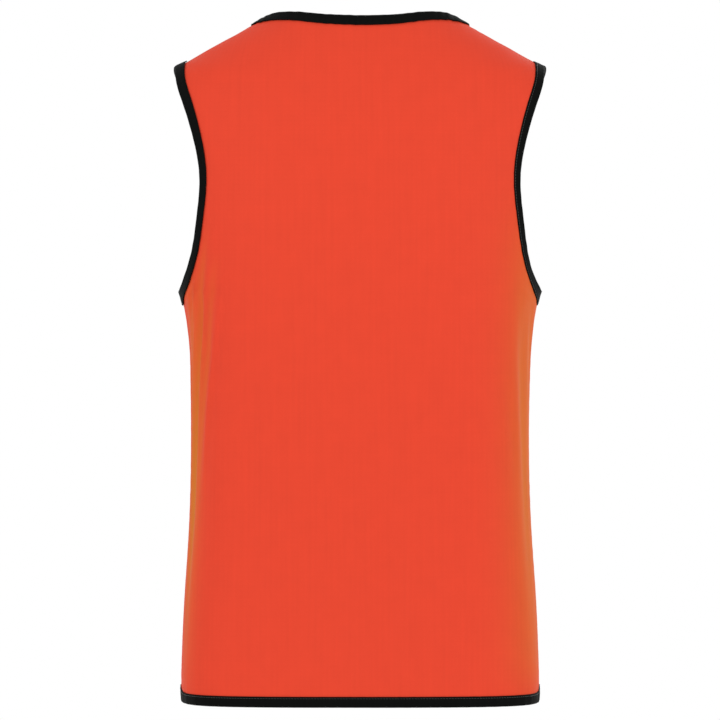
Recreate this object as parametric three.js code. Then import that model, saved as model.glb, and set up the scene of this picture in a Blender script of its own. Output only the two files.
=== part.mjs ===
// Reversible rugby bib, filled out as when it is worn, with nobody in it. Two plies of thin knit,
// each cut as a back and a front, are bound together round the neck, the armholes and the hem.
// Millimetres, +Z up. The back of the bib faces -Y and the wearer's right is +X.
// The origin lies between the shoulders, level with the middle of the shoulder seams.
import * as THREE from "three";

// Cloth and binding
const plyThickness = 1.0;
const seamGap = 0.3;
const bindingWall = 1.0;
const bindingWidth = 9.7;
const foldBulge = 0.5; // how far the middle of the binding's fold stands out past its corners
const seamBehindRidge = 7; // side and shoulder seams lie this far behind the widest line
const startOfFold = 1.0; // where a binding turns a corner, its fold moves on by this much

// Levels of the cut edges, inside the fold of the binding
const hemLevel = -675.7;
const underarmLevel = -255.7;
const shoulderTipLevel = -23;
const neckSideLevel = 24.2;
const shoulderSlope = THREE.MathUtils.degToRad(28.8);

// Armhole, an egg shape seen from the side
const armholeReach = { back: 66, front: 88 };
const armholeFullness = 2.3; // 2 is an ellipse, more is boxier
const armholeSteps = 10;
const cornerReach = 8; // where the binding's inner edge turns at the tip and the underarm

// Level sections of the filled-out form. half is half the width, back and front are the depths
// from the middle plane, round is 0.55 for an ellipse and goes towards 1 for tight corners.
// Between the underarm and the shoulder tip the sections run on where the arms would be.
const formSections = [
  { z: -690, half: 182.8, back: 104, front: 108, round: 0.87 },
  { z: -660, half: 184.6, back: 105, front: 109, round: 0.87 },
  { z: -600, half: 183.2, back: 105, front: 109, round: 0.86 },
  { z: -520, half: 177.8, back: 104, front: 109, round: 0.84 },
  { z: -450, half: 174.7, back: 104, front: 110, round: 0.82 },
  { z: -383, half: 174.2, back: 106, front: 113, round: 0.79 },
  { z: -320, half: 175.8, back: 109, front: 118, round: 0.76 },
  { z: -284, half: 179.6, back: 111, front: 120, round: 0.74 },
  { z: -266, half: 182.8, back: 112, front: 121, round: 0.73 },
  { z: -255, half: 186.1, back: 112, front: 121, round: 0.72 },
  { z: -222, half: 185.6, back: 113, front: 121, round: 0.72 },
  { z: -180, half: 188.6, back: 113, front: 119, round: 0.71 },
  { z: -139, half: 193.2, back: 110, front: 114, round: 0.69 },
  { z: -100, half: 204.2, back: 106, front: 106, round: 0.67 },
  { z: -57, half: 213, back: 97, front: 95, round: 0.64 },
  { z: -35, half: 206, back: 90, front: 88, round: 0.62 },
  { z: -23, half: 189.5, back: 86, front: 84, round: 0.6 },
  { z: -15.5, half: 173.8, back: 83, front: 82, round: 0.59 },
  { z: -5, half: 156.4, back: 78, front: 78, round: 0.58 },
  { z: 15.5, half: 119.4, back: 68, front: 69, round: 0.57 },
  { z: 20.7, half: 110.8, back: 65.5, front: 67, round: 0.57 },
  { z: 24.2, half: 104, back: 64, front: 65.5, round: 0.57 },
  { z: 32, half: 97, back: 61, front: 63, round: 0.57 },
  { z: 45, half: 90, back: 58, front: 60, round: 0.57 },
];

// Height of the neckline at a distance out from the middle of the panel
const neckHalfWidth = 104;
const neckline = {
  back: [
    { out: 0, z: 24 },
    { out: 28, z: 24.8 },
    { out: 54, z: 27.5 },
    { out: 72, z: 29.4 },
    { out: 84, z: 29.5 },
    { out: 96, z: 27.2 },
    { out: neckHalfWidth, z: neckSideLevel },
  ],
  front: [
    { out: 0, z: -50 },
    { out: 38, z: -45 },
    { out: 67, z: -31 },
    { out: 88, z: -9 },
    { out: 98, z: 9 },
    { out: neckHalfWidth, z: neckSideLevel },
  ],
};

// The largest folds, soft troughs that run down from the underarms. in is the distance from the
// side seam at each end, side is -1 on the left of the back view.
const folds = [
  { face: "back", side: -1, top: -225, topIn: 62, bottom: -460, bottomIn: 44, depth: 3.0, width: 9 },
  { face: "back", side: -1, top: -235, topIn: 92, bottom: -430, bottomIn: 66, depth: 2.2, width: 9 },
  { face: "back", side: -1, top: -250, topIn: 36, bottom: -330, bottomIn: 26, depth: 1.8, width: 7 },
  { face: "back", side: 1, top: -150, topIn: 46, bottom: -300, bottomIn: 54, depth: 2.0, width: 10 },
  { face: "back", side: 1, top: -215, topIn: 40, bottom: -480, bottomIn: 34, depth: 2.6, width: 12 },
  { face: "front", side: -1, top: -190, topIn: 78, bottom: -420, bottomIn: 50, depth: 2.6, width: 11 },
  { face: "front", side: -1, top: -240, topIn: 44, bottom: -370, bottomIn: 34, depth: 2.0, width: 9 },
  { face: "front", side: 1, top: -200, topIn: 84, bottom: -450, bottomIn: 56, depth: 2.8, width: 11 },
  { face: "front", side: 1, top: -245, topIn: 48, bottom: -350, bottomIn: 38, depth: 1.8, width: 9 },
];

// Grid of a panel: levels of the rows below the armhole, and where the columns lie between the
// middle of the panel and the last column before its edge
const bodyLevels = [
  hemLevel, hemLevel + bindingWidth, -630, -570, -510, -450, -395, -345, -312, -290,
  underarmLevel - bindingWidth, underarmLevel,
];
const levelRows = 8; // rows from here up spread evenly along the middle of the panel
const shoulderRows = 5;
const columnPlaces = [0, 0.13, 0.26, 0.385, 0.5, 0.605, 0.7, 0.785, 0.86, 0.93, 1];
const edgeColumn = columnPlaces.length;
const necklineEnd = { back: 0.86, front: 0.88 }; // the last column before the shoulder seam
const cornerStep = 15;
const shoulderStep = 12;

const colours = { orange: 0xe84c35, yellow: 0xe6d21e, black: 0x101110 };

const underarmRow = bodyLevels.length - 1;
const tipRow = underarmRow + armholeSteps;
const topRow = tipRow + shoulderRows;

// Reads the columns of a table at a place along its key column, smoothly and without overshoot
function readTable(table, key, place) {
  const last = table.length - 1;
  let i = 0;
  while (i < last - 1 && place > table[i + 1][key]) i += 1;
  const span = table[i + 1][key] - table[i][key];
  const f = THREE.MathUtils.clamp((place - table[i][key]) / span, 0, 1);
  const slope = (k, column) =>
    (table[k + 1][column] - table[k][column]) / (table[k + 1][key] - table[k][key]);
  const tangent = (k, column) => {
    if (k === 0) return slope(0, column);
    if (k === last) return slope(last - 1, column);
    const before = slope(k - 1, column);
    const after = slope(k, column);
    return before * after <= 0 ? 0 : (2 * before * after) / (before + after);
  };
  const row = {};
  for (const column of Object.keys(table[0])) {
    if (column === key) continue;
    const start = table[i][column];
    const end = table[i + 1][column];
    const startTangent = tangent(i, column) * span;
    const endTangent = tangent(i + 1, column) * span;
    row[column] =
      start +
      f * f * (3 - 2 * f) * (end - start) +
      f * (1 - f) * (1 - f) * startTangent -
      f * f * (1 - f) * endTangent;
  }
  return row;
}

// Half a level section of the form, as a back curve and a front curve that meet on the ridge
const sections = new Map();
function sectionAt(z) {
  const name = z.toFixed(3);
  if (!sections.has(name)) {
    const { half, back, front, round } = readTable(formSections, "z", z);
    const quarter = (depth) =>
      new THREE.CubicBezierCurve(
        new THREE.Vector2(0, depth),
        new THREE.Vector2(round * half, depth),
        new THREE.Vector2(half, round * depth),
        new THREE.Vector2(half, 0),
      );
    const curves = { back: quarter(-back), front: quarter(front) };
    const seam = { back: -seamBehindRidge, front: seamBehindRidge };
    const length = {
      back: curves.back.getLength() + seam.back,
      front: curves.front.getLength() + seam.front,
    };
    sections.set(name, { curves, length });
  }
  return sections.get(name);
}

// Point of the smooth form. along is 0 in the middle of the face and 1 on its side seam.
function formPoint(face, z, along) {
  const { curves, length } = sectionAt(z);
  const own = curves[face];
  const other = curves[face === "back" ? "front" : "back"];
  const travelled = along * length[face];
  const past = travelled - own.getLength();
  const onOwn = past <= 0;
  const curve = onOwn ? own : other;
  const place = onOwn ? travelled / own.getLength() : 1 - past / other.getLength();
  const point = curve.getPointAt(THREE.MathUtils.clamp(place, 0, 1));
  const tangent = curve.getTangentAt(THREE.MathUtils.clamp(place, 0, 1));
  const turn = (face === "back") === onOwn ? 1 : -1;
  const outward = new THREE.Vector3(tangent.y * turn, -tangent.x * turn, 0);
  return { point: new THREE.Vector3(point.x, point.y, z), outward };
}

// How far the folds move the cloth out of the smooth form
function foldLift(face, side, z, fromSeam) {
  let lift = 0;
  for (const fold of folds) {
    if (fold.face !== face || fold.side !== side) continue;
    const f = (fold.top - z) / (fold.top - fold.bottom);
    if (f <= 0 || f >= 1) continue;
    const middle = THREE.MathUtils.lerp(fold.topIn, fold.bottomIn, f);
    const fade = Math.sin(Math.PI * Math.sqrt(f)) ** 2;
    lift -= fold.depth * fade * Math.exp(-(((fromSeam - middle) / fold.width) ** 2));
  }
  return lift;
}

// Point of the cloth's outer face, side is 1 on the wearer's right and -1 on the left
function clothPoint(face, side, z, along) {
  const { point, outward } = formPoint(face, z, Math.abs(along));
  const fromSeam = (1 - along) * sectionAt(z).length[face];
  point.addScaledVector(outward, foldLift(face, side, z, fromSeam));
  point.x *= side;
  return point;
}

// The cloth's two directions and its outward normal at a place
function clothFrame(face, side, place) {
  const small = { z: 0.5, along: 0.002 };
  const across = clothPoint(face, side, place.z, place.along + small.along);
  across.sub(clothPoint(face, side, place.z, Math.max(place.along - small.along, 0)));
  across.divideScalar(small.along + Math.min(place.along, small.along));
  const up = clothPoint(face, side, place.z + small.z, place.along);
  up.sub(clothPoint(face, side, place.z - small.z, place.along)).divideScalar(2 * small.z);
  const normal = new THREE.Vector3().crossVectors(across, up).normalize();
  normal.multiplyScalar(-side * awayFrom(face));
  return { across, up, normal };
}

// Walks over the cloth from a place, a distance in a direction
function walk(face, side, start, direction, distance) {
  const steps = 6;
  const place = { ...start };
  for (let i = 0; i < steps; i += 1) {
    const { across, up, normal } = clothFrame(face, side, place);
    const step = direction.clone().addScaledVector(normal, -direction.dot(normal));
    step.setLength(distance / steps);
    const aa = across.dot(across);
    const au = across.dot(up);
    const uu = up.dot(up);
    const determinant = aa * uu - au * au;
    place.along += (step.dot(across) * uu - step.dot(up) * au) / determinant;
    place.z += (step.dot(up) * aa - step.dot(across) * au) / determinant;
  }
  return place;
}

// First place along a section, from the middle of the panel outwards, where a test holds
function placeWhere(test) {
  let low = 0;
  let high = 1;
  for (let i = 0; i < 30; i += 1) {
    const place = (low + high) / 2;
    if (test(place)) high = place;
    else low = place;
  }
  return high;
}

function awayFrom(face) {
  return face === "back" ? -1 : 1;
}

// Direction into the panel, at right angles to an edge that runs outwards or down
function intoPanel(face, side, edge, normal) {
  return new THREE.Vector3().crossVectors(edge, normal).multiplyScalar(-side * awayFrom(face));
}

// Place on the armhole's edge, turn is 0 at the shoulder tip and PI at the underarm
const armholeMiddle = (shoulderTipLevel + underarmLevel) / 2;
const armholeHalfHeight = (shoulderTipLevel - underarmLevel) / 2;
function armholePlace(face, turn) {
  const power = 2 / armholeFullness;
  const height = Math.sign(Math.cos(turn)) * Math.abs(Math.cos(turn)) ** power;
  const z = armholeMiddle + armholeHalfHeight * height;
  const depth = armholeReach[face] * Math.sin(turn) ** power;
  const target = depth - seamBehindRidge * awayFrom(face);
  const along = placeWhere((place) => formPoint(face, z, place).point.y * awayFrom(face) < target);
  return { z, along };
}

// Place inside the panel at the binding's width from the armhole's edge
function armholeInset(face, side, turn) {
  const small = 0.02;
  const place = armholePlace(face, turn);
  const before = armholePlace(face, turn - small);
  const after = armholePlace(face, turn + small);
  const edge = clothPoint(face, side, after.z, after.along);
  edge.sub(clothPoint(face, side, before.z, before.along));
  const { normal } = clothFrame(face, side, place);
  return walk(face, side, place, intoPanel(face, side, edge, normal), bindingWidth);
}

function cornerTurn(face) {
  return Math.asin((cornerReach / armholeReach[face]) ** (armholeFullness / 2));
}

function armholeTurn(row) {
  return Math.PI * (1 - (row - underarmRow) / armholeSteps);
}

// Where each row of a panel ends: on the side seam, round the armhole, then on the shoulder seam
function rowEnd(face, row) {
  if (row <= underarmRow) return { z: bodyLevels[row], along: 1 };
  if (row < tipRow) return armholePlace(face, armholeTurn(row));
  if (row === tipRow) return { z: shoulderTipLevel, along: 1 };
  const inset = bindingWidth * Math.sin(shoulderSlope);
  if (row === topRow) return { z: neckSideLevel, along: 1 };
  const f = (row - tipRow - 1) / (shoulderRows - 2);
  return { z: THREE.MathUtils.lerp(shoulderTipLevel + inset, neckSideLevel - inset, f), along: 1 };
}

// The last column before the edge of a panel, which the binding's inner edge follows
function insetEnd(face, side, row) {
  const end = rowEnd(face, row);
  const length = sectionAt(end.z).length[face];
  const shorter = (distance) => ({ z: end.z, along: end.along - distance / length });
  const away = awayFrom(face);
  if (row === underarmRow - 1) {
    return walk(face, side, end, new THREE.Vector3(0, away, -1), cornerStep);
  }
  if (row < underarmRow) return shorter(bindingWidth);
  if (row === underarmRow) return armholeInset(face, side, Math.PI - cornerTurn(face));
  if (row < tipRow) return armholeInset(face, side, armholeTurn(row));
  if (row === tipRow) return armholeInset(face, side, cornerTurn(face));
  if (row === tipRow + 1) {
    return walk(face, side, end, new THREE.Vector3(-side, away, 0), cornerStep);
  }
  return shorter(shoulderStep);
}

// Place of a column on the neckline, which ends on the shoulder seam
function necklinePlace(face, column) {
  if (column === edgeColumn) return { z: neckSideLevel, along: 1 };
  return necklineAt(face, columnPlaces[column] * necklineEnd[face]);
}

function necklineAt(face, turn) {
  const out = neckHalfWidth * Math.sin((turn * Math.PI) / 2);
  const { z } = readTable(neckline[face], "out", out);
  return { z, along: placeWhere((place) => formPoint(face, z, place).point.x > out) };
}

// Place one binding's width below the neckline
function necklineInset(face, side, column) {
  const small = 0.01;
  const turn = columnPlaces[column] * necklineEnd[face];
  const before = necklineAt(face, Math.abs(turn - small));
  const after = necklineAt(face, turn + small);
  const edge = clothPoint(face, side, after.z, after.along);
  const start = clothPoint(face, side, before.z, before.along);
  if (turn < small) start.x *= -1;
  edge.sub(start);
  const place = necklineAt(face, turn);
  const { normal } = clothFrame(face, side, place);
  return walk(face, side, place, intoPanel(face, side, edge, normal), bindingWidth);
}

// Places of a row's columns, evenly spaced over the cloth as columnPlaces says. Seen from the
// front, the row is a parabola from the middle line to the last column before the edge.
function rowPlaces(face, row, inset) {
  const samples = 60;
  const middle = middleLevel(face, row);
  const end = formPoint(face, inset.z, inset.along).point.x;
  const places = [];
  const travelled = [0];
  let last = null;
  for (let i = 0; i <= samples; i += 1) {
    const share = 1 - (1 - i / samples) ** 2;
    const z = THREE.MathUtils.lerp(middle, inset.z, share * share);
    const isBeyond = (place) => formPoint(face, z, place).point.x > end * share;
    const along = i === samples ? inset.along : placeWhere(isBeyond);
    const { point } = formPoint(face, z, along);
    if (last) travelled.push(travelled[i - 1] + point.distanceTo(last));
    places.push({ z, along });
    last = point;
  }
  return columnPlaces.map((share) => {
    const distance = share * travelled[samples];
    let i = 0;
    while (i < samples - 1 && travelled[i + 1] < distance) i += 1;
    const f = (distance - travelled[i]) / (travelled[i + 1] - travelled[i]);
    return {
      z: THREE.MathUtils.lerp(places[i].z, places[i + 1].z, f),
      along: THREE.MathUtils.lerp(places[i].along, places[i + 1].along, f),
    };
  });
}

function placesInPanel(face, side, row) {
  const columns = [...columnPlaces.keys()];
  if (row === topRow) {
    return [...columns, edgeColumn].map((column) => necklinePlace(face, column));
  }
  if (row === topRow - 1) {
    return [...columns.map((column) => necklineInset(face, side, column)), rowEnd(face, row)];
  }
  return [...rowPlaces(face, row, insetEnd(face, side, row)), rowEnd(face, row)];
}

// Level of a row on the middle line of the panel
function middleLevel(face, row) {
  if (row < levelRows) return bodyLevels[row];
  const start = bodyLevels[levelRows - 1];
  const end = neckline[face][0].z - bindingWidth;
  return THREE.MathUtils.lerp(start, end, (row - levelRows + 1) / (topRow - levelRows));
}

// Grid of a panel's outer face, columns from the left edge of the back view to its right edge
function panelGrid(face) {
  const grid = [];
  for (let row = 0; row <= topRow; row += 1) {
    const places = { "-1": placesInPanel(face, -1, row), 1: placesInPanel(face, 1, row) };
    const line = [];
    for (let column = -edgeColumn; column <= edgeColumn; column += 1) {
      const side = column < 0 ? -1 : 1;
      const place = places[side][Math.abs(column)];
      const onSeam = Math.abs(column) === edgeColumn && (row <= underarmRow || row >= tipRow);
      if (onSeam) place.along -= seamGap / 2 / sectionAt(place.z).length[face];
      const { normal } = clothFrame(face, side, place);
      if (column === 0) normal.setX(0).normalize();
      line.push({ point: clothPoint(face, side, place.z, place.along), normal });
    }
    grid.push(line);
  }
  return grid;
}

const grids = { back: panelGrid("back"), front: panelGrid("front") };

// Point of the seam between the panels, midway between their edges
function seamPoint(row, side) {
  const column = side < 0 ? 0 : 2 * edgeColumn;
  const back = grids.back[row][column];
  const front = grids.front[row][column];
  return {
    point: back.point.clone().lerp(front.point, 0.5),
    normal: back.normal.clone().add(front.normal).normalize(),
  };
}

function moved({ point, normal }, out) {
  return point.clone().addScaledVector(normal, out);
}

function meshFrom(name, points, triangles, material) {
  const volume = triangles.reduce((sum, [a, b, c]) => {
    const cross = new THREE.Vector3().crossVectors(points[b], points[c]);
    return sum + points[a].dot(cross);
  }, 0);
  const outward = volume > 0 ? triangles : triangles.map(([a, b, c]) => [a, c, b]);
  const geometry = new THREE.BufferGeometry();
  geometry.setAttribute(
    "position",
    new THREE.Float32BufferAttribute(points.flatMap((p) => [p.x, p.y, p.z]), 3),
  );
  geometry.setIndex(outward.flat());
  geometry.computeVertexNormals();
  const mesh = new THREE.Mesh(geometry, material);
  mesh.name = name;
  return mesh;
}

// A panel's wall between two offsets from the outer face
function panelWall(name, face, outer, inner, material) {
  const grid = grids[face];
  const columns = 2 * edgeColumn + 1;
  const points = [];
  for (const out of [outer, inner]) {
    for (const line of grid) points.push(...line.map((cell) => moved(cell, out)));
  }
  const layer = grid.length * columns;
  const at = (row, column, inside) => inside * layer + row * columns + column;
  const triangles = [];
  const quad = (a, b, c, d) => {
    triangles.push([a, b, c], [a, c, d]);
  };
  for (let row = 0; row < topRow; row += 1) {
    for (let column = 0; column < columns - 1; column += 1) {
      const right = column >= edgeColumn;
      const outermost = column === 0 || column === columns - 2;
      const corner = outermost && (row === tipRow || row === underarmRow);
      const risesOutward = corner === right;
      for (const inside of [0, 1]) {
        const a = at(row, column, inside);
        const b = at(row, column + 1, inside);
        const c = at(row + 1, column + 1, inside);
        const d = at(row + 1, column, inside);
        const cut = risesOutward ? [[a, b, c], [a, c, d]] : [[b, c, d], [b, d, a]];
        triangles.push(...(inside ? cut.map(([p, q, r]) => [p, r, q]) : cut));
      }
    }
  }
  for (let column = 0; column < columns - 1; column += 1) {
    const next = column + 1;
    quad(at(0, column, 0), at(0, column, 1), at(0, next, 1), at(0, next, 0));
    quad(at(topRow, next, 0), at(topRow, next, 1), at(topRow, column, 1), at(topRow, column, 0));
  }
  for (let row = 0; row < topRow; row += 1) {
    const last = columns - 1;
    quad(at(row + 1, 0, 0), at(row + 1, 0, 1), at(row, 0, 1), at(row, 0, 0));
    quad(at(row, last, 0), at(row, last, 1), at(row + 1, last, 1), at(row + 1, last, 0));
  }
  return meshFrom(name, points, triangles, material);
}

// A folded binding round a closed edge. Each station has a point on the edge and one on the line
// where the binding ends on the panel, and diagonal says which of the two the last strip's
// diagonal starts from at the station before.
function bindingRing(name, stations, material) {
  const plies = 2 * plyThickness + seamGap;
  const outside = seamGap + bindingWall;
  const inside = -plies - seamGap - bindingWall;
  const count = stations.length;
  const middle = new THREE.Vector3();
  stations.forEach(({ edge }) => middle.add(edge.point));
  middle.divideScalar(count);
  const points = stations.flatMap(({ edge, inner }, i) => {
    const before = stations[(i + count - 1) % count].edge.point;
    const after = stations[(i + 1) % count].edge.point;
    const along = new THREE.Vector3().subVectors(after, before);
    const out = new THREE.Vector3().crossVectors(along, edge.normal).normalize();
    if (out.dot(new THREE.Vector3().subVectors(edge.point, inner.point)) < 0) out.negate();
    const onEdge = (offset, past) => moved(edge, offset).addScaledVector(out, past);
    return [
      moved(inner, outside),
      onEdge(outside - foldBulge / 2, outside - foldBulge),
      onEdge((outside + inside) / 2, outside + foldBulge),
      onEdge(inside + foldBulge / 2, outside - foldBulge),
      moved(inner, inside),
      moved(inner, -plies - seamGap),
      onEdge(-plies - seamGap, seamGap),
      onEdge(seamGap, seamGap),
      moved(inner, seamGap),
    ];
  });
  const ringSize = points.length / count;
  const triangles = [];
  for (let i = 0; i < count; i += 1) {
    const next = (i + 1) % count;
    for (let k = 0; k < ringSize; k += 1) {
      const k2 = (k + 1) % ringSize;
      const a = i * ringSize + k;
      const b = i * ringSize + k2;
      const c = next * ringSize + k2;
      const d = next * ringSize + k;
      const startsInside = [0, 4, 5, 8].includes(k);
      const fromFirst = (stations[next].diagonal === "edge") !== startsInside;
      triangles.push(...(fromFirst ? [[a, b, c], [a, c, d]] : [[a, b, d], [b, c, d]]));
    }
  }
  return meshFrom(name, points, triangles, material);
}

// Stations along the hem or the neckline, right round both panels
function levelStations(edgeRow, innerRow) {
  const stations = [];
  const edgeAtHem = edgeRow < innerRow;
  const last = 2 * edgeColumn;
  for (const face of ["back", "front"]) {
    for (let i = 0; i < last; i += 1) {
      const column = face === "back" ? i : last - i;
      const onSeam = column === 0 || column === last;
      const side = column === 0 ? -1 : 1;
      const pick = (row) => (onSeam ? seamPoint(row, side) : grids[face][row][column]);
      stations.push({ edge: pick(edgeRow), inner: pick(innerRow) });
    }
  }
  stations.forEach((station, i) => {
    const step = (i + stations.length - 1) % last;
    const goesOutward = step >= edgeColumn;
    station.diagonal = goesOutward === edgeAtHem ? "inner" : "edge";
  });
  return stations;
}

// Stations round an armhole: up the back from the underarm, over the tip and down the front
function armholeStations(side) {
  const end = side < 0 ? 0 : 2 * edgeColumn;
  const last = end - side;
  const underarm = { edge: seamPoint(underarmRow, side), inner: seamPoint(underarmRow - 1, side) };
  const tip = { edge: seamPoint(tipRow, side), inner: seamPoint(tipRow + 1, side) };
  const faceStations = (face) => {
    const grid = grids[face];
    const corner = (row, nextRow) => {
      const start = grid[row][end];
      const direction = grid[nextRow][end].point.clone().sub(start.point).setLength(startOfFold);
      const point = start.point.clone().add(direction);
      return { edge: { point, normal: start.normal }, inner: grid[row][last] };
    };
    const stations = [{ ...corner(underarmRow, underarmRow + 1), diagonal: "edge" }];
    for (let row = underarmRow + 1; row < tipRow; row += 1) {
      const diagonal = row === underarmRow + 1 ? "inner" : "edge";
      stations.push({ edge: grid[row][end], inner: grid[row][last], diagonal });
    }
    stations.push({ ...corner(tipRow, tipRow - 1), diagonal: "edge" });
    return stations;
  };
  const up = faceStations("back");
  const down = faceStations("front").reverse();
  const reversed = down.map(({ edge, inner }, i) => {
    const before = i === 0 ? "inner" : down[i - 1].diagonal;
    return { edge, inner, diagonal: before === "edge" ? "inner" : "edge" };
  });
  const overTip = { ...tip, diagonal: "inner" };
  const lastDiagonal = down[down.length - 1].diagonal;
  const backToUnderarm = { ...underarm, diagonal: lastDiagonal === "edge" ? "inner" : "edge" };
  return [backToUnderarm, ...up, overTip, ...reversed];
}

const bib = new THREE.Group();

const finishOf = { cloth: 0.62, binding: 0.75 };

function clothMaterial(color) {
  return new THREE.MeshStandardMaterial({ color, roughness: finishOf.cloth, metalness: 0 });
}

function bindingMaterial() {
  const color = colours.black;
  return new THREE.MeshStandardMaterial({ color, roughness: finishOf.binding, metalness: 0 });
}

const reverseTop = -plyThickness - seamGap;
const reverseUnder = reverseTop - plyThickness;
for (const face of ["back", "front"]) {
  const outerPly = clothMaterial(colours.orange);
  const reversePly = clothMaterial(colours.yellow);
  bib.add(panelWall(`${face}_panel`, face, 0, -plyThickness, outerPly));
  bib.add(panelWall(`${face}_reverse`, face, reverseTop, reverseUnder, reversePly));
}

bib.add(bindingRing("neck_binding", levelStations(topRow, topRow - 1), bindingMaterial()));
bib.add(bindingRing("hem_binding", levelStations(0, 1), bindingMaterial()));
bib.add(bindingRing("left_armhole_binding", armholeStations(-1), bindingMaterial()));
bib.add(bindingRing("right_armhole_binding", armholeStations(1), bindingMaterial()));

export default bib;
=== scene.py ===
import bpy
import bmesh
import math
import numpy as np
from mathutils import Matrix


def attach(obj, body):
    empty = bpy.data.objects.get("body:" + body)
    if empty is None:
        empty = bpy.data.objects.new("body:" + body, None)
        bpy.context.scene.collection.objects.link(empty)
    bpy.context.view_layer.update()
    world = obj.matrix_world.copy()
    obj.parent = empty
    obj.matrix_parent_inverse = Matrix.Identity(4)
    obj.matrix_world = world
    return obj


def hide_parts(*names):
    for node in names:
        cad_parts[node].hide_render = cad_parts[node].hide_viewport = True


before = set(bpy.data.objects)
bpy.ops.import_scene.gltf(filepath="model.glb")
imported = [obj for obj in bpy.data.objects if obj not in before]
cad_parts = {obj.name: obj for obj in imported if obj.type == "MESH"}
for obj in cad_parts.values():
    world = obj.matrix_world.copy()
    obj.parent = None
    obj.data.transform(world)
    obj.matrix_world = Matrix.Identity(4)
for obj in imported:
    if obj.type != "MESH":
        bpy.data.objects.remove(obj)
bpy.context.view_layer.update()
mm = 0.001  # the scene is in metres

# camera, level with the middle of the bib and looking at its back
viewpoint = {"across": -0.0003, "distance": 4.5, "height": -0.3257, "lens": 217.6, "sensor": 36, "far": 100}
cameraData = bpy.data.cameras.new("camera")
cameraData.lens = viewpoint["lens"]
cameraData.sensor_width = viewpoint["sensor"]
cameraData.clip_end = viewpoint["far"]
camera = bpy.data.objects.new("camera", cameraData)
camera.location = (viewpoint["across"], -viewpoint["distance"], viewpoint["height"])
camera.rotation_euler = (math.pi / 2, 0, 0)
bpy.context.scene.collection.objects.link(camera)
bpy.context.scene.camera = camera
print("camera set")

# cloth grids, read from the CAD panels and made finer
cloth = {
    "meshStep": 3.0,     # mm between points of the fine grid
    "rimWall": 1.2,      # mm, edges shorter than this are the wall's thickness
    "joinWithin": 0.01,  # mm, points of the CAD mesh nearer than this are one
    "ringJoin": 0.005,   # mm, the same where a tape's ring closes
    "wallReach": 3,      # mm, how far along the hem the inner face's point is looked for
    "underarmRow": 11,   # rows of the CAD grid where the armhole starts and ends
    "tipRow": 21,
    "wavePhase": 7,      # seed of the cloth's slow unevenness
}


def neighbours(point):
    return [edge.other_vert(point) for edge in point.link_edges]


def inOrder(row):
    members = set(row)
    ends = [p for p in row if sum(n in members for n in neighbours(p)) == 1]
    line = [min(ends, key=lambda p: p.co.x)]
    used = set(line)
    while len(line) < len(row):
        step = next(n for n in neighbours(line[-1]) if n in members and n not in used)
        line.append(step)
        used.add(step)
    return line


def layerRows(hem, start, away):
    # rows from the hem to the neckline, each from left to right as seen from outside
    layer, reached = {start}, {start}
    while reached:
        reached = {n for p in reached for n in neighbours(p)} - layer
        layer |= reached
    row = [p for p in hem if p in layer]
    seen = set(row)
    rows = []
    while row:
        line = inOrder(row)
        rows.append([tuple(p.co) for p in (line if away < 0 else reversed(line))])
        row = list({n for p in row for n in neighbours(p)} - seen)
        seen.update(row)
    return np.array(rows)


def readPanel(nodeName, away):
    # the outer and the inner face of the panel's wall
    panel = bmesh.new()
    panel.from_mesh(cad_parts[nodeName].data)
    bmesh.ops.remove_doubles(panel, verts=panel.verts, dist=cloth["joinWithin"] * mm)
    short = [line for line in panel.edges if line.calc_length() < cloth["rimWall"] * mm]
    rim = {side for line in short for side in line.link_faces}
    bmesh.ops.delete(panel, geom=list(rim), context="FACES")
    low = min(p.co.z for p in panel.verts)
    hem = [p for p in panel.verts if p.co.z < low + mm]
    outermost = max(hem, key=lambda p: away * p.co.y)
    reach = cloth["wallReach"] * mm
    beside = [p for p in hem if abs(p.co.x - outermost.co.x) < reach and away * p.co.y > 0]
    innermost = min(beside, key=lambda p: away * p.co.y)
    layers = [layerRows(hem, start, away) for start in (outermost, innermost)]
    panel.free()
    return layers


def curveThrough(points, counts):
    # smooth curve through the points, with counts[i] steps between point i and the next
    n = len(points)
    span = np.maximum(np.linalg.norm(np.diff(points, axis=0), axis=1), 1e-6)
    matrix = np.zeros((n, n))
    right = np.zeros((n, 3))
    matrix[0, :2] = matrix[-1, -2:] = (1, -1)
    for i in range(1, n - 1):
        matrix[i, i - 1:i + 2] = span[i - 1], 2 * (span[i - 1] + span[i]), span[i]
        after = (points[i + 1] - points[i]) / span[i]
        before = (points[i] - points[i - 1]) / span[i - 1]
        right[i] = 6 * (after - before)
    bend = np.linalg.solve(matrix, right)
    fine = [points[0]]
    for i, count in enumerate(counts):
        for b in np.arange(1, count + 1)[:, None] / count:
            a = 1 - b
            fine.append(
                a[0] * points[i] + b[0] * points[i + 1]
                + span[i] ** 2 / 6 * ((a[0] ** 3 - a[0]) * bend[i] + (b[0] ** 3 - b[0]) * bend[i + 1])
            )
    return np.array(fine)


def stepsBetween(grids, axis):
    length = sum(np.linalg.norm(np.diff(g, axis=axis), axis=2).mean(axis=1 - axis) for g in grids)
    return np.ceil(length / len(grids) / (cloth["meshStep"] * mm)).astype(int)


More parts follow.
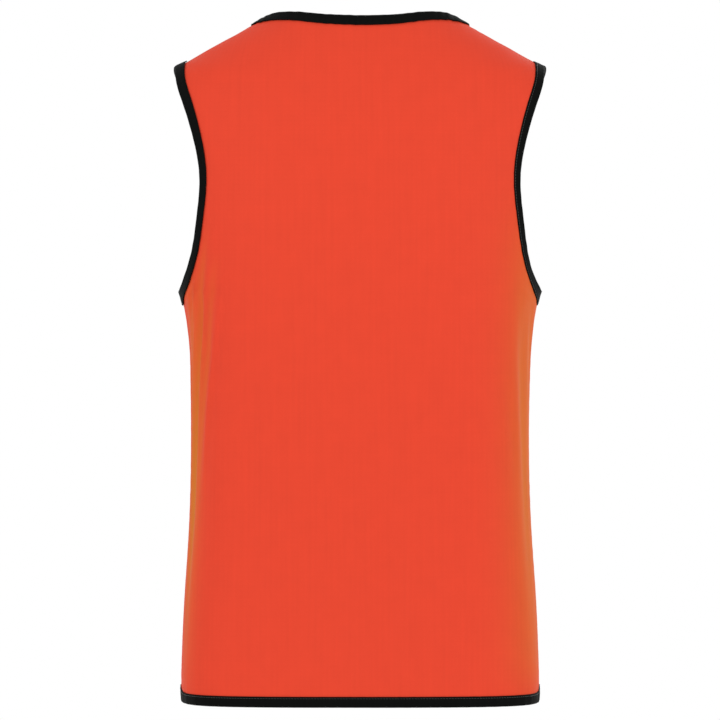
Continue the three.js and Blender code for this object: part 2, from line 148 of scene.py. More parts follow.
def finer(rows, rowSteps, columnSteps):
    lines = []
    corners = [0, cloth["underarmRow"], cloth["tipRow"], len(rows) - 1]
    last = rows.shape[1] - 1
    for column in range(last + 1):
        points = rows[:, column]
        if column in (0, 1, last - 1, last):  # these turn sharply at the underarm and the tip
            parts = [curveThrough(points[a:b + 1], rowSteps[a:b]) for a, b in zip(corners, corners[1:])]
            lines.append(np.concatenate([parts[0]] + [part[1:] for part in parts[1:]]))
        else:
            lines.append(curveThrough(points, rowSteps))
    tall = np.stack(lines, axis=1)
    wide = []
    for place, row in enumerate(tall):
        if underarm <= place <= tip:  # the rows turn sharply at the tape's inner line
            left, right = (np.linspace(row[a], row[a + 1], columnSteps[a] + 1) for a in (0, last - 1))
            between = curveThrough(row[1:-1], columnSteps[1:-1])
            wide.append(np.concatenate([left, between[1:], right[1:]]))
        else:
            wide.append(curveThrough(row, columnSteps))
    return np.stack(wide)


away = {"back": -1, "front": 1}
coarse = {face: readPanel(face + "_panel", away[face]) for face in away}
print("panels read", {face: layers[0].shape for face, layers in coarse.items()})
rowSteps = stepsBetween([layers[0] for layers in coarse.values()], 0)
columnSteps = stepsBetween([layers[0] for layers in coarse.values()], 1)
columnSteps = np.maximum(columnSteps, columnSteps[::-1])
rowAt = np.concatenate([[0], np.cumsum(rowSteps)])
columnAt = np.concatenate([[0], np.cumsum(columnSteps)])
underarm, tip, top = rowAt[cloth["underarmRow"]], rowAt[cloth["tipRow"]], rowAt[-1]
edge = columnAt[-1]
middle = edge // 2
grids, outward = {}, {}
for face, (outer, inner) in coarse.items():
    grids[face] = finer(outer, rowSteps, columnSteps)
    outward[face] = grids[face] - finer(inner, rowSteps, columnSteps)
onSeam = np.r_[0:underarm + 1, tip:top + 1]
print("cloth grid", grids["back"].shape)


def joinSeams(values):
    # back and front meet along the side and shoulder seams
    for backColumn, frontColumn in ((0, edge), (edge, 0)):
        shared = (values["back"][onSeam, backColumn] + values["front"][onSeam, frontColumn]) / 2
        values["back"][onSeam, backColumn] = shared
        values["front"][onSeam, frontColumn] = shared


def alongRows(points, flat=False):
    step = np.diff(points, axis=1)
    if flat:
        step = step[..., :2]
    length = np.linalg.norm(step, axis=2) / mm
    return np.concatenate([np.zeros((len(points), 1)), np.cumsum(length, axis=1)], axis=1)


# creases, given one by one: height and distance from the middle of the panel at both ends
# (mm, plus is to the right as seen from outside), bend sideways, depth and width
creases = {
    "back": [
        (-176, -164, -640, -202, -8, 2.8, 6.0),
        (-214, -150, -520, -184, -6, 2.0, 5.0),
        (-238, -188, -372, -217, 4, 1.5, 4.5),
        (-236, -164, -470, -189, -5, -1.6, 2.8),
        (-232, -141, -480, -171, -5, -1.3, 2.8),
        (-228, -178, -318, -207, 2, -1.1, 2.6),
        (-146, -174, -220, -149, 1, -0.7, 2.4),
        (-268, -210, -600, -219, 0, 1.3, 5.0),
        (-134, 169, -198, 145, 2, -0.8, 2.6),
        (-156, 174, -222, 154, -2, -0.7, 2.6),
        (-150, 178, -214, 158, 2, 0.8, 4.0),
        (-226, 172, -620, 192, 6, 1.5, 9.0),
        (-262, 205, -390, 214, 2, 1.1, 5.5),
        (-330, 152, -480, 168, 3, 0.9, 6.0),
        (-350, -141, -650, -136, 3, -1.7, 20.0),
        (-350, 134, -650, 130, -4, -1.7, 22.0),
        (-440, -60, -668, -52, 6, -0.7, 26.0),
        (-420, 42, -668, 50, -5, -0.7, 30.0),
        (-50, -132, -170, -90, -4, 0.6, 11.0),
        (-48, 130, -165, 92, 5, 0.6, 11.0),
    ],
    "front": [
        (-226, -174, -560, -202, -6, 2.2, 7.0),
        (-250, -206, -340, -226, 2, 1.6, 5.0),
        (-160, -178, -236, -148, 3, 1.1, 3.6),
        (-226, -136, -420, -168, -6, 1.3, 6.5),
        (-230, 180, -600, 206, 7, 2.2, 7.0),
        (-140, 178, -222, 148, 2, 1.1, 3.4),
        (-262, 214, -380, 230, 0, 1.5, 5.0),
        (-228, 146, -430, 176, 5, 1.3, 7.0),
        (-370, -146, -650, -140, 4, -1.7, 22.0),
        (-360, 150, -640, 144, -3, -1.6, 20.0),
        (-52, -60, -210, -30, 6, 0.8, 14.0),
        (-52, 56, -190, 28, -5, 0.8, 15.0),
        (-430, 30, -668, 40, 5, -0.8, 28.0),
    ],
}
creaseForm = {
    "ridge": 0.4,        # height of the ridge beside a crease, as a share of its depth
    "ridgeOut": 2.1,     # where it stands and how wide it is, in widths of the crease
    "ridgeWidth": 1.2,
    "lead": 0.75,        # under 1 the crease is deepest above its middle
    "taper": 1.4,
    "shallow": 0.8,      # mm, a crease less deep than this gets no painted shade
}
slow = {
    "count": 10,         # long low waves across the cloth
    "tilt": 0.5,         # radians at most
    "shortest": 70,      # mm
    "longest": 170,
    "upright": 0.6,
    "turn": 6.3,         # radians, about one turn
    "depth": 0.09,       # mm for each wave
}
pucker = {
    "depth": 0.2,        # mm, the pull of the sewing beside the hem and neck tapes
    "armholeDepth": 0.5,  # share of it beside the armhole tapes
    "reach": 10.0,       # mm, how far it goes in from the tape
    "shortest": 9,       # mm, its waves
    "longest": 19,
    "seamDepth": 0.6,    # mm, the groove of the side and shoulder seams
    "seamWidth": 1.6,
    "seamFade": 6,       # rows over which the groove fades out at the armhole
    "bindingWidth": 9.7,  # mm, the leg of the tape
    "calmTo": 18,        # mm from the armhole, where the creases are whole again
    "calmOver": 9,
}


def creaseLift(out, height, table):
    lift = np.zeros_like(out)
    troughShade = np.zeros_like(out)
    for start, startOut, end, endOut, bend, depth, width in table:
        f = np.clip((start - height) / (start - end), 0, 1)
        line = startOut + (endOut - startOut) * f + bend * np.sin(math.pi * f)
        fade = np.sin(math.pi * f ** creaseForm["lead"]) ** creaseForm["taper"]
        t = (out - line) / width
        ridge = np.exp(-((np.abs(t) - creaseForm["ridgeOut"]) / creaseForm["ridgeWidth"]) ** 2)
        lift += depth * fade * (creaseForm["ridge"] * ridge - np.exp(-t * t))
        # where painted shade goes: along the bottom of each deep crease
        troughShade += max(depth - creaseForm["shallow"], 0) * fade * np.exp(-t * t)
    return lift, troughShade


def waves(place, seed, shortest, longest, count=9):
    chance = np.random.default_rng(seed)
    total = np.zeros_like(place)
    for _ in range(count):
        length = chance.uniform(shortest, longest)
        total += np.sin(place * 2 * math.pi / length + chance.uniform(0, 2 * math.pi))
    return total / math.sqrt(count)


def slowWaves(out, height, seed):
    chance = np.random.default_rng(seed)
    total = np.zeros_like(out)
    for _ in range(slow["count"]):
        angle = chance.uniform(-slow["tilt"], slow["tilt"])
        length = chance.uniform(slow["shortest"], slow["longest"])
        place = out * math.cos(angle) + height * math.sin(angle) * slow["upright"]
        total += np.sin(place * 2 * math.pi / length + chance.uniform(0, slow["turn"]))
    return total * slow["depth"]


def settle(face):
    # moves the grid by its creases, the pull of its seams and a slow unevenness
    points = grids[face]
    fromLeft = alongRows(points)
    fromRight = fromLeft[:, -1:] - fromLeft
    out = alongRows(points, flat=True)
    out -= out[:, middle:middle + 1]
    height = points[..., 2] / mm
    fromSide = np.minimum(fromLeft, fromRight)
    columns = np.linalg.norm(np.diff(points, axis=0), axis=2) / mm
    fromHem = np.concatenate([np.zeros((1, edge + 1)), np.cumsum(columns, axis=0)])
    fromNeck = fromHem[-1:] - fromHem
    seed = 10 * (away[face] + 2)  # another unevenness on each face
    rows = np.arange(top + 1)
    seamRows = np.clip(np.maximum(underarm - rows, rows - tip) / pucker["seamFade"], 0, 1)[:, None]
    underTape = (1 - seamRows) * np.clip((pucker["calmTo"] - fromSide) / pucker["calmOver"], 0, 1)
    lift, troughShade = (values * (1 - underTape) for values in creaseLift(out, height, creases[face]))
    lift += slowWaves(out, height, cloth["wavePhase"] + seed)
    width, reach = pucker["bindingWidth"], pucker["reach"]

    def ripple(distance, along, start, number):
        past = np.maximum(distance - start, 0)
        wave = waves(along, seed + number, pucker["shortest"], pucker["longest"])
        return pucker["depth"] * np.exp(-past / reach) * wave

    lift += ripple(fromHem, out, width, 1) + ripple(fromNeck, out, width, 2)
    start = width * (1 - seamRows)
    beside = ripple(fromLeft, height, start, 3) + ripple(fromRight, height, start, 4)
    lift += beside * pucker["armholeDepth"]
    lift -= seamRows * pucker["seamDepth"] * np.exp(-(fromSide / pucker["seamWidth"]) ** 2)
    grids[face] = points + outward[face] * (lift * mm)[..., None]
    return out, height, troughShade


def evened(values):
    wide = np.pad(values, ((1, 1), (1, 1), (0, 0)), mode="edge")
    across = (wide[:, :-2] + 2 * wide[:, 1:-1] + wide[:, 2:]) / 4
    return (across[:-2] + 2 * across[1:-1] + across[2:]) / 4


ease = {"passes": 30, "share": 0.9, "height": -258, "tall": 18}  # the last two in mm


def easeUnderarm(face):
    # eases the cloth where the side seam runs into the armhole, so that no line runs round the body
    for _ in range(ease["passes"]):
        points = grids[face]
        drop = (points[..., 2] / mm - ease["height"]) / ease["tall"]
        share = ease["share"] * np.exp(-drop ** 2)[..., None]
        share[:, (0, edge)] = 0
        upright = points.copy()
        upright[1:-1] = (points[:-2] + 2 * points[1:-1] + points[2:]) / 4
        grids[face] = points * (1 - share) + upright * share


joinSeams(grids)
joinSeams(outward)
for face in away:
    outward[face] = evened(outward[face])
    outward[face] /= np.linalg.norm(outward[face], axis=2, keepdims=True)
joinSeams(outward)
for face in away:
    easeUnderarm(face)
placeOnCloth = {}
for face in away:
    placeOnCloth[face] = settle(face)
joinSeams(grids)
print("creases laid")

# colours as sRGB: orange, ochre and black are matched to the photo, and yellow is guessed from the ochre
paint = {
    "orange": "#C93D28",
    "ochre": "#AE7A22",  # painted shade colour: ochre where the orange cloth turns away, folds, and meets the shoulder seam
    "yellow": "#D2BE14",
    "black": "#060706",
    "thread": ("#171917", "#333633"),
    "floor": ("#F4F4F3", "#FAFAFA"),
}


def colourOf(hexValue):
    channels = [int(hexValue[i:i + 2], 16) / 255 for i in (1, 3, 5)]
    return [c / 12.92 if c <= 0.04045 else ((c + 0.055) / 1.055) ** 2.4 for c in channels] + [1]


def newMaterial(name):
    material = bpy.data.materials.new(name)
    material.use_nodes = True
    return material, material.node_tree


def node(tree, kind, settings=None, links=None):
    item = tree.nodes.new(kind)
    for key, value in (settings or {}).items():
        if isinstance(key, str) and hasattr(item, key):
            setattr(item, key, value)
        else:
            item.inputs[key].default_value = value
    for key, source in (links or {}).items():
        tree.links.new(source, item.inputs[key])
    return item


def speckledMaterial(name, colours, settings):
    # one colour that drifts to another in soft speckles
    material, tree = newMaterial(name)
    shader = tree.nodes["Principled BSDF"]
    noise = node(tree, "ShaderNodeTexNoise", {"Scale": settings["scale"], "Detail": settings["detail"]},
                 {"Vector": node(tree, "ShaderNodeTexCoord").outputs["Object"]})
    mixed = node(tree, "ShaderNodeMix", {
        "data_type": "RGBA", 6: colourOf(colours[0]), 7: colourOf(colours[1])}, {0: noise.outputs["Fac"]})
    tree.links.new(mixed.outputs[2], shader.inputs["Base Color"])
    shader.inputs["Roughness"].default_value = settings["rough"]
    shader.inputs["IOR"].default_value = settings["ior"]
    return material


knit = {
    "radians": 20,       # the wave texture's turn for each unit, and a unit is a metre of cloth
    "streaks": (260, 9, 1),
    "streakDetail": 3,
    "streakRoughness": 0.6,
    "mottleScale": 45,
    "mottleDetail": 4,
    "mottleRoughness": 0.55,
    "toneRange": (0.7, 1.3),
    "roughRange": 0.06,
    "streakRelief": 0.35,
}


def knitMaterial(name, base, shade, settings):
    # knitted polyester: matt, with faint upright ribs, and a soft sheen where it turns away
    material, tree = newMaterial(name)
    shader = tree.nodes["Principled BSDF"]
    for key, value in settings["shader"].items():
        shader.inputs[key].default_value = value
    place = node(tree, "ShaderNodeUVMap", {"uv_map": "cut"}).outputs["UV"]
    ribs = node(tree, "ShaderNodeTexWave", {
        "wave_type": "BANDS", "bands_direction": "X", "wave_profile": "SIN",
        "Scale": 1000 / settings["ribTurn"] / knit["radians"], "Distortion": 0.0,
    }, {"Vector": place})
    rows = node(tree, "ShaderNodeTexWave", {
        "wave_type": "BANDS", "bands_direction": "Y", "wave_profile": "SIN",
        "Scale": 1000 / settings["rowTurn"] / knit["radians"], "Distortion": 0.0,
    }, {"Vector": place})
    stretched = node(tree, "ShaderNodeMapping", {"Scale": knit["streaks"]}, {"Vector": place})
    streaks = node(tree, "ShaderNodeTexNoise", {
        "Scale": 1.0, "Detail": knit["streakDetail"], "Roughness": knit["streakRoughness"],
    }, {"Vector": stretched.outputs["Vector"]})
    mottle = node(tree, "ShaderNodeTexNoise", {
        "Scale": knit["mottleScale"], "Detail": knit["mottleDetail"], "Roughness": knit["mottleRoughness"],
    }, {"Vector": place})
    loops = node(tree, "ShaderNodeMath", {"operation": "MULTIPLY"},
                 {0: ribs.outputs["Fac"], 1: rows.outputs["Fac"]})
    tone = node(tree, "ShaderNodeMath", {"operation": "ADD"},
                {0: streaks.outputs["Fac"], 1: mottle.outputs["Fac"]})
    toneRange = node(tree, "ShaderNodeMapRange", {
        1: knit["toneRange"][0], 2: knit["toneRange"][1], 3: 1 - settings["mottle"], 4: 1 + settings["mottle"],
    }, {0: tone.outputs[0]})
    loopRange = node(tree, "ShaderNodeMapRange", {
        3: 1 - settings["loopShade"], 4: 1 + settings["loopShade"] / 3,
    }, {0: loops.outputs[0]})
    bright = node(tree, "ShaderNodeMath", {"operation": "MULTIPLY"},
                  {0: toneRange.outputs[0], 1: loopRange.outputs[0]})
    # painted shade: the base colour is mixed toward the shade colour by the mesh's painted shade value
    paintedShade = node(tree, "ShaderNodeAttribute", {"attribute_name": "paintedShade"})
    tinted = node(tree, "ShaderNodeMix", {"data_type": "RGBA", 6: colourOf(base), 7: colourOf(shade)},
                  {0: paintedShade.outputs["Fac"]})
    coloured = node(tree, "ShaderNodeVectorMath", {"operation": "SCALE"},
                    {0: tinted.outputs[2], "Scale": bright.outputs[0]})
    tree.links.new(coloured.outputs[0], shader.inputs["Base Color"])
    rough = node(tree, "ShaderNodeMapRange", {
        3: settings["rough"] - knit["roughRange"], 4: settings["rough"] + knit["roughRange"],
    }, {0: mottle.outputs["Fac"]})
    tree.links.new(rough.outputs[0], shader.inputs["Roughness"])
    relief = node(tree, "ShaderNodeMath", {"operation": "MULTIPLY_ADD", 1: knit["streakRelief"]},
                  {0: streaks.outputs["Fac"], 2: loops.outputs[0]})
    bump = node(tree, "ShaderNodeBump", {"Strength": settings["bump"], "Distance": settings["loopHeight"] * mm},
                {"Height": relief.outputs[0]})
    tree.links.new(bump.outputs[0], shader.inputs["Normal"])
    return material


# ribTurn and rowTurn are mm for each radian: the cloth's pattern repeats every 5.7 and 5.0 mm and the
# tape's every 6.9 and 5.7 mm. The real loops, about 0.9 mm, are too fine to show, so it is drawn coarser.
clothFinish = {
    "ribTurn": 0.9, "rowTurn": 0.8, "mottle": 0.025, "loopShade": 0.012, "rough": 0.62, "bump": 0.15,
    "loopHeight": 0.05,
    "shader": {"IOR": 1.46, "Specular IOR Level": 0.06, "Sheen Weight": 0.02, "Sheen Roughness": 0.4,
               "Sheen Tint": (1.0, 0.55, 0.3, 1)},
}
reverseFinish = dict(clothFinish, shader={
    "IOR": 1.46, "Specular IOR Level": 0.1, "Sheen Weight": 0.05, "Sheen Roughness": 0.4,
    "Sheen Tint": (1.0, 0.9, 0.5, 1)})
bindingFinish = {
    "ribTurn": 1.1, "rowTurn": 0.9, "mottle": 0.12, "loopShade": 0.2, "rough": 0.7, "bump": 0.7,
    "loopHeight": 0.15,
    "shader": {"IOR": 1.46, "Specular IOR Level": 0.05, "Sheen Weight": 0.008, "Sheen Roughness": 0.4,
               "Sheen Tint": (0.75, 0.8, 0.75, 1)},
}
# dyed polyester knit: a matt even orange, with next to no highlight, and ochre painted shade where its mesh
# carries it
orangeKnit = knitMaterial("orangePolyesterKnit", paint["orange"], paint["ochre"], clothFinish)
# the same knit in yellow, with a little more sheen where it turns away
yellowKnit = knitMaterial("yellowPolyesterKnit", paint["yellow"], paint["yellow"], reverseFinish)
# black knitted tape, folded and pressed: near black, grey only along its rounded edges
blackTape = knitMaterial("blackFoldedTape", paint["black"], paint["black"], bindingFinish)
# spun polyester thread: lighter and smoother than the tape, so the stitches catch the light
threadFinish = {"scale": 900, "detail": 2, "rough": 0.45, "ior": 1.5}
blackThread = speckledMaterial("blackSewingThread", paint["thread"], threadFinish)
print("materials made")


# pieces
def gridPiece(name, points, uv, material, paintedShade=None, closed=False):
    rows, columns = points.shape[:2]
    build = bmesh.new()
    bmesh.ops.create_grid(build, x_segments=columns - 1, y_segments=rows - 1, size=1)
    mesh = bpy.data.meshes.new(name)
    build.to_mesh(mesh)
    build.free()
    mesh.vertices.foreach_set("co", points.reshape(-1, 3).ravel())
    layer = mesh.uv_layers.new(name="cut")
    corner = np.zeros(len(mesh.loops), int)
    mesh.loops.foreach_get("vertex_index", corner)
    layer.data.foreach_set("uv", (uv.reshape(-1, 2)[corner] * mm).ravel())
    # the painted shade value of each point, zero where none is given
    shade = mesh.attributes.new("paintedShade", "FLOAT", "POINT")
    shade.data.foreach_set("value", (np.zeros(rows * columns) if paintedShade is None else paintedShade.ravel()))
    if closed:
        build = bmesh.new()
        build.from_mesh(mesh)
        bmesh.ops.remove_doubles(build, verts=build.verts, dist=cloth["ringJoin"] * mm)
        build.to_mesh(mesh)
        build.free()
    mesh.polygons.foreach_set("use_smooth", np.ones(len(mesh.polygons), bool))
    mesh.update()
    piece = bpy.data.objects.new(name, mesh)
    bpy.context.scene.collection.objects.link(piece)
    mesh.materials.append(material)
    return piece


def thicken(piece, thickness):
    wall = piece.modifiers.new("clothThickness", "SOLIDIFY")
    wall.thickness = thickness * mm
    wall.offset = -1
    wall.use_even_offset = False
    wall.use_quality_normals = True


def cutPlace(face):
    # place on the flat cut, in mm: across from the middle, and up along the middle line
    out, height = placeOnCloth[face][:2]
    line = grids[face][:, middle]
    up = np.concatenate([[0], np.cumsum(np.linalg.norm(np.diff(line, axis=0), axis=1))]) / mm
    return np.stack([out, np.interp(height, line[:, 2] / mm, up)], axis=2)


# painted shade bands down the sides, for each side: middle, width, start, waist and tall in mm, strength at the
# waist and rest elsewhere
paintedShadePlan = {
    -1: {"middle": 201, "width": 21, "start": -215, "waist": -440, "tall": 150, "strength": 0.46, "rest": 0.06},
    1: {"middle": 206, "width": 44, "start": -180, "waist": -430, "tall": 150, "strength": 0.42, "rest": 0.29},
    "startFade": 16,     # mm, how softly the bands begin, and where and how softly they end
    "end": -655,
    "endFade": 12,
    "rim": 7,            # mm from the side seam that stay orange, below the armhole
    "rimFade": 6,
    "rimBelow": -262,
    # share of painted shade in the crease troughs, and the most painted shade anywhere
    "folds": 0.15,
    "most": 0.6,
    "seam": 0.35,        # painted shade along the shoulder seam
    "seamOut": 1.5,
    "seamWidth": 2.2,
}


def paintedSideShade(face):
    # painted shade: ochre bands down both sides where the cloth turns away, darker ochre in the crease troughs,
    # and a line along the shoulder seam
    out, height, troughShade = placeOnCloth[face]
    fromLeft = alongRows(grids[face])
    fromSide = np.minimum(fromLeft, fromLeft[:, -1:] - fromLeft)
    pastRim = np.clip((fromSide - paintedShadePlan["rim"]) / paintedShadePlan["rimFade"], 0, 1)
    rim = np.where(height < paintedShadePlan["rimBelow"], pastRim, 1)
    paintedShade = 0
    for side in (-1, 1):
        plan = paintedShadePlan[side if face == "back" else -side]
        rise = np.exp(-((height - plan["waist"]) / plan["tall"]) ** 2)
        band = np.exp(-((side * out - plan["middle"]) / plan["width"]) ** 2)
        begun = 1 + np.exp((height - plan["start"]) / paintedShadePlan["startFade"])
        body = 1 / begun / (1 + np.exp((paintedShadePlan["end"] - height) / paintedShadePlan["endFade"]))
        paintedShade = paintedShade + band * body * (plan["rest"] + (plan["strength"] - plan["rest"]) * rise)
    # a painted shade line just inside the shoulder seam
    nearSeam = np.exp(-((fromSide - paintedShadePlan["seamOut"]) / paintedShadePlan["seamWidth"]) ** 2)
    shoulderSeam = (np.arange(top + 1) > tip)[:, None] * nearSeam
    paintedShade = np.clip(paintedShade + paintedShadePlan["folds"] * troughShade, 0, paintedShadePlan["most"]) * rim
    return paintedShade + paintedShadePlan["seam"] * shoulderSeam


panelPlan = {
    "thickness": 0.5,    # mm, thin knit
    "reverseDepth": 1.3,  # mm from the outer ply's face to the reverse ply's
}
for face in away:
    uv = cutPlace(face)
    for ply, depth, material, slot in (("panel", 0, orangeKnit, "outer_knit"),
                                       ("reverse", panelPlan["reverseDepth"], yellowKnit, "reverse_knit")):
        points = grids[face] - outward[face] * depth * mm
        piece = gridPiece(f"{face}_{ply}_cloth", points, uv, material, paintedSideShade(face) if ply == "panel" else None)
        thicken(piece, panelPlan["thickness"])
        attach(piece, "root")
        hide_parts(f"{face}_{ply}")


def sample(values, row, column):
    r, c = min(int(row), values.shape[0] - 2), min(int(column), values.shape[1] - 2)
    a, b = row - r, column - c
    return ((1 - a) * (1 - b) * values[r, c] + (1 - a) * b * values[r, c + 1]
            + a * (1 - b) * values[r + 1, c] + a * b * values[r + 1, c + 1])


tape = {
    "steps": 8,          # points along each leg
    "foldSteps": 6,
    "cornerSteps": 6,    # where a tape turns round the tip and the underarm
    "height": 1.25,      # mm from the cloth's face to the tape's face
    "edgeHeight": 0.95,
    "thickness": 0.75,
    "plies": 2.3,
    "foldOut": 1.5,      # mm from the cut edge to the outside of the fold
    "stitchIn": 1.8,     # mm from the tape's edge to the sewing
    "stitchSink": 0.22,
    "sinkWidth": 0.9,
    "edgeRound": 5,      # mm from the tape's edge to its full height
    "foldPower": 0.8,    # under 1 the fold is squarer than round
    "hemTurn": 0.5,      # how much taller the hem's tape is at the sides, and within how many mm
    "turnWithin": 26,
    "underarmReach": 0.4,  # more tape shows under the arm, and less in the middle of the armhole
    "underarmSpan": 0.2,
    "middleReach": 0.25,
    "middleAt": 0.45,
    "middleSpan": 0.22,
}
stitch = {
    "pitch": 2.9,        # mm
    "length": 2.1,
    "thread": 0.5,
    "slant": 4,          # degrees
    "stand": 0.12,       # mm over the tape
    "sides": 6,
    "radius": 0.5,       # in widths of the thread
    "body": 0.62,        # in lengths of the stitch, without its rounded ends
    "capInset": 0.22,
    "capRise": 0.19,
}


def station(face, places):
    # the tape's leg over one line of the cloth, from the tape's edge to the cut edge
    points = np.array([sample(grids[face], r, c) for r, c in places])
    normals = np.array([sample(outward[face], r, c) for r, c in places])
    return points, normals / np.linalg.norm(normals, axis=1, keepdims=True)


def tapeSection(points, normals):
    share = np.linspace(0, 1, len(points))
    fromEdge = share * pucker["bindingWidth"]
    rounding = np.sin(np.clip(fromEdge / tape["edgeRound"], 0, 1) * math.pi / 2)
    rise = tape["edgeHeight"] + (tape["height"] - tape["edgeHeight"]) * rounding
    rise = rise - tape["stitchSink"] * np.exp(-((fromEdge - tape["stitchIn"]) / tape["sinkWidth"]) ** 2)
    outerLeg = points + normals * (rise * mm)[:, None]
    innerLeg = points - normals * ((rise + tape["plies"]) * mm)[:, None]
    beyond = points[-1] - points[-2]
    beyond = beyond - normals[-1] * (beyond @ normals[-1])
    beyond /= np.linalg.norm(beyond)
    half = (2 * tape["height"] + tape["plies"]) / 2
    fold = []
    for angle in np.linspace(0, math.pi, tape["foldSteps"] + 1)[1:-1]:
        across = (tape["height"] - half + half * math.cos(angle)) * mm
        out = beyond * tape["foldOut"] * math.sin(angle) ** tape["foldPower"] * mm
        fold.append(points[-1] + normals[-1] * across + out)
    return np.concatenate([outerLeg, fold, innerLeg[::-1]])


def ringPiece(name, stations):
    sections = np.array([tapeSection(*s) for s in stations])
    sections = np.concatenate([sections, sections[:1]])
    across = np.linalg.norm(np.diff(sections, axis=1), axis=2).mean(axis=0) / mm
    across = np.concatenate([[0], np.cumsum(across)])
    foldLine = sections[:, sections.shape[1] // 2]
    along = np.concatenate([[0], np.cumsum(np.linalg.norm(np.diff(foldLine, axis=0), axis=1))]) / mm
    uv = np.stack(np.meshgrid(across, along), axis=2)
    piece = gridPiece(name, sections, uv, blackTape, closed=True)
    return piece, sections


def legShares():
    return np.linspace(0, 1, tape["steps"])


def levelRing(edgeRow, innerRow, sideRise=0):
    stations = []
    for face in ("back", "front"):
        run = alongRows(grids[face])[edgeRow]
        fromSeam = np.minimum(run, run[-1] - run)
        for column in range(edge):
            # at the hem the tape turns up a little at the sides
            turn = sideRise * math.exp(-(fromSeam[column] / tape["turnWithin"]) ** 2)
            reach = (innerRow - edgeRow) * (1 + turn)
            stations.append(station(face, [(edgeRow + reach * (1 - s), column) for s in legShares()]))
    return stations


def armholeRing(side):
    # up the back, over the shoulder tip, down the front and under the arm
    bindingColumn = columnAt[1]
    tipSeam, armSeam = rowAt[cloth["tipRow"] + 1], rowAt[cloth["underarmRow"] - 1]
    turns = np.linspace(0, 1, tape["cornerSteps"])

    def column(face, fromEdge):
        atStart = (face == "back") == (side < 0)
        return fromEdge if atStart else edge - fromEdge

    def reachAt(row):
        # the tape turns into the armhole half way up and lies flatter under the arm
        f = (row - underarm) / (tip - underarm)
        more = tape["underarmReach"] * math.exp(-(f / tape["underarmSpan"]) ** 2)
        less = tape["middleReach"] * math.exp(-((f - tape["middleAt"]) / tape["middleSpan"]) ** 2)
        return 1 + more - less

    def straight(face, row):
        return station(face, [(row, column(face, bindingColumn * reachAt(row) * (1 - s))) for s in legShares()])

    def fan(face, cornerRow, seamRow, turn):
        wide = reachAt(cornerRow) * (1 - turn)
        tall = (seamRow - cornerRow) * turn
        reach = [1 - s for s in legShares()]
        return station(face, [(cornerRow + tall * r, column(face, bindingColumn * wide * r)) for r in reach])

    stations = [straight("back", row) for row in range(underarm, tip + 1)]
    stations += [fan("back", tip, tipSeam, turn) for turn in turns[1:]]
    stations += [fan("front", tip, tipSeam, turn) for turn in turns[-2:0:-1]]
    stations += [straight("front", row) for row in range(tip, underarm - 1, -1)]
    stations += [fan("front", underarm, armSeam, turn) for turn in turns[1:]]
    stations += [fan("back", underarm, armSeam, turn) for turn in turns[-2:0:-1]]
    return stations


def stitchRow(name, line, normals):
    # a joined row of short threads along a closed line
    line = np.concatenate([line, line[:1]])
    normals = np.concatenate([normals, normals[:1]])
    run = np.concatenate([[0], np.cumsum(np.linalg.norm(np.diff(line, axis=0), axis=1))])
    count = int(run[-1] / (stitch["pitch"] * mm))
    build = bmesh.new()
    bmesh.ops.create_cone(build, cap_ends=True, segments=stitch["sides"], radius1=stitch["radius"],
                          radius2=stitch["radius"], depth=stitch["body"])
    caps = [f for f in build.faces if len(f.verts) == stitch["sides"]]
    bmesh.ops.inset_region(build, faces=caps, thickness=stitch["capInset"], depth=stitch["capRise"],
                           use_even_offset=False)
    bmesh.ops.recalc_face_normals(build, faces=build.faces)
    one = bpy.data.meshes.new("oneStitch")
    build.to_mesh(one)
    build.free()
    shape = np.array([v.co[:] for v in one.vertices])
    faces = [list(p.vertices) for p in one.polygons]
    points, polygons = [], []
    slant = math.radians(stitch["slant"])
    for i in range(count):
        place = (i + 0.5) * run[-1] / count
        centre = np.array([np.interp(place, run, line[:, k]) for k in range(3)])
        ahead = np.array([np.interp(min(place + mm, run[-1]), run, line[:, k]) for k in range(3)])
        behind = np.array([np.interp(max(place - mm, 0), run, line[:, k]) for k in range(3)])
        up = np.array([np.interp(place, run, normals[:, k]) for k in range(3)])
        forward = (ahead - behind) / np.linalg.norm(ahead - behind)
        up = up - forward * (up @ forward)
        up /= np.linalg.norm(up)
        # known fault: sideways, up and forward are left-handed, so the stitches' faces point inwards
        sideways = np.cross(forward, up)
        forward, sideways = (forward * math.cos(slant) + sideways * math.sin(slant),
                             sideways * math.cos(slant) - forward * math.sin(slant))
        polygons += [[corner + len(points) * len(shape) for corner in polygon] for polygon in faces]
        points.append(centre + (shape[:, :1] * sideways + shape[:, 1:2] * up) * stitch["thread"] * mm
                      + shape[:, 2:] * forward * stitch["length"] * mm)
    mesh = bpy.data.meshes.new(name)
    mesh.from_pydata(np.concatenate(points).tolist(), [], polygons)
    bpy.data.meshes.remove(one)
    mesh.materials.append(blackThread)
    mesh.polygons.foreach_set("use_smooth", np.ones(len(mesh.polygons), bool))
    piece = bpy.data.objects.new(name, mesh)
    bpy.context.scene.collection.objects.link(piece)
    return piece


def bind(nodeName, stations):
    piece, sections = ringPiece(nodeName + "_tape", stations)
    thicken(piece, tape["thickness"])
    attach(piece, "root")
    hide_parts(nodeName)
    place = tape["stitchIn"] / pucker["bindingWidth"] * (tape["steps"] - 1)
    low = int(place)
    blend = place - low
    normals = np.array([s[1][low] for s in stations])
    count = sections.shape[1]
    rows = []
    for kind, a, b, sign in (("outer", low, low + 1, 1), ("inner", count - 1 - low, count - 2 - low, -1)):
        line = sections[:-1, a] * (1 - blend) + sections[:-1, b] * blend
        sewing = stitchRow(f"{nodeName}_{kind}_stitches", line + normals * sign * stitch["stand"] * mm,
                           normals * sign)
        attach(sewing, "root")
        rows.append(sewing)
    return piece, rows


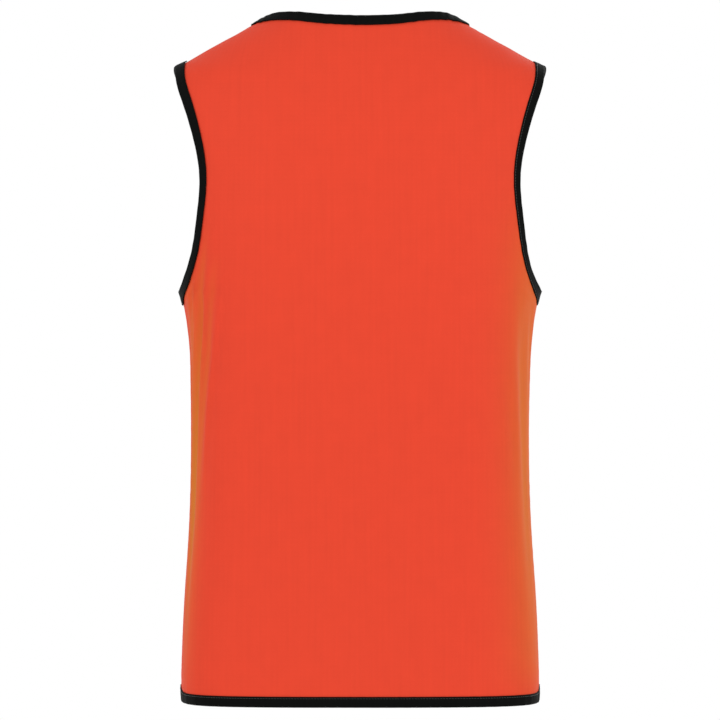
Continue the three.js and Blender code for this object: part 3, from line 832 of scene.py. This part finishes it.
# known fault: the neck's and the left armhole's sections are wound the other way from the other two,
# so their walls grow away from the cloth and cover their stitches. The stations of both need reversing.
bindings = {
    "hem_binding": bind("hem_binding", levelRing(0, rowAt[1], tape["hemTurn"])),
    "neck_binding": bind("neck_binding", levelRing(top, rowAt[-2])),
    "left_armhole_binding": bind("left_armhole_binding", armholeRing(-1)),
    "right_armhole_binding": bind("right_armhole_binding", armholeRing(1)),
}
print("bindings made")


# room and light
room = {"floor": -0.95, "size": 2.4, "sides": 96}
build = bmesh.new()
bmesh.ops.create_circle(build, cap_ends=True, segments=room["sides"], radius=room["size"])
bmesh.ops.translate(build, verts=build.verts, vec=(0, 0, room["floor"]))
floorMesh = bpy.data.meshes.new("floor")
build.to_mesh(floorMesh)
build.free()
floor = bpy.data.objects.new("floor", floorMesh)
bpy.context.scene.collection.objects.link(floor)
# matt wall paint: plain and pale, with no shine
floorFinish = {"scale": 3, "detail": 3, "rough": 0.8, "ior": 1.5}
floorMesh.materials.append(speckledMaterial("paleFloorPaint", paint["floor"], floorFinish))

light = {
    "sky": 1.0,
    "aim": (0, 0, -0.33),
    "key": {"place": (-1.9, -2.1, 0.75), "size": 1.1, "power": 24},
    "fill": {"place": (2.2, -1.9, 0.1), "size": 1.1, "power": 21},
    "rear": {"place": (1.7, 2.6, 0.9), "size": 1.1, "power": 24},
}
sky = bpy.data.worlds.new("studio")
sky.use_nodes = True
sky.node_tree.nodes["Background"].inputs["Color"].default_value = (1, 1, 1, 1)
sky.node_tree.nodes["Background"].inputs["Strength"].default_value = light["sky"]
bpy.context.scene.world = sky
for name in ("key", "fill", "rear"):
    lamp = bpy.data.lights.new(name, "AREA")
    lamp.shape = "DISK"
    lamp.size = light[name]["size"]
    lamp.energy = light[name]["power"]
    softbox = bpy.data.objects.new(name, lamp)
    softbox.location = light[name]["place"]
    aim = np.array(light["aim"]) - np.array(light[name]["place"])
    tilt = math.atan2(math.hypot(aim[0], aim[1]), -aim[2])
    turn = math.atan2(aim[0], -aim[1]) + math.pi
    softbox.rotation_euler = (tilt, 0, turn)
    bpy.context.scene.collection.objects.link(softbox)
bpy.context.scene.view_settings.view_transform = "Standard"
print("room and light set")
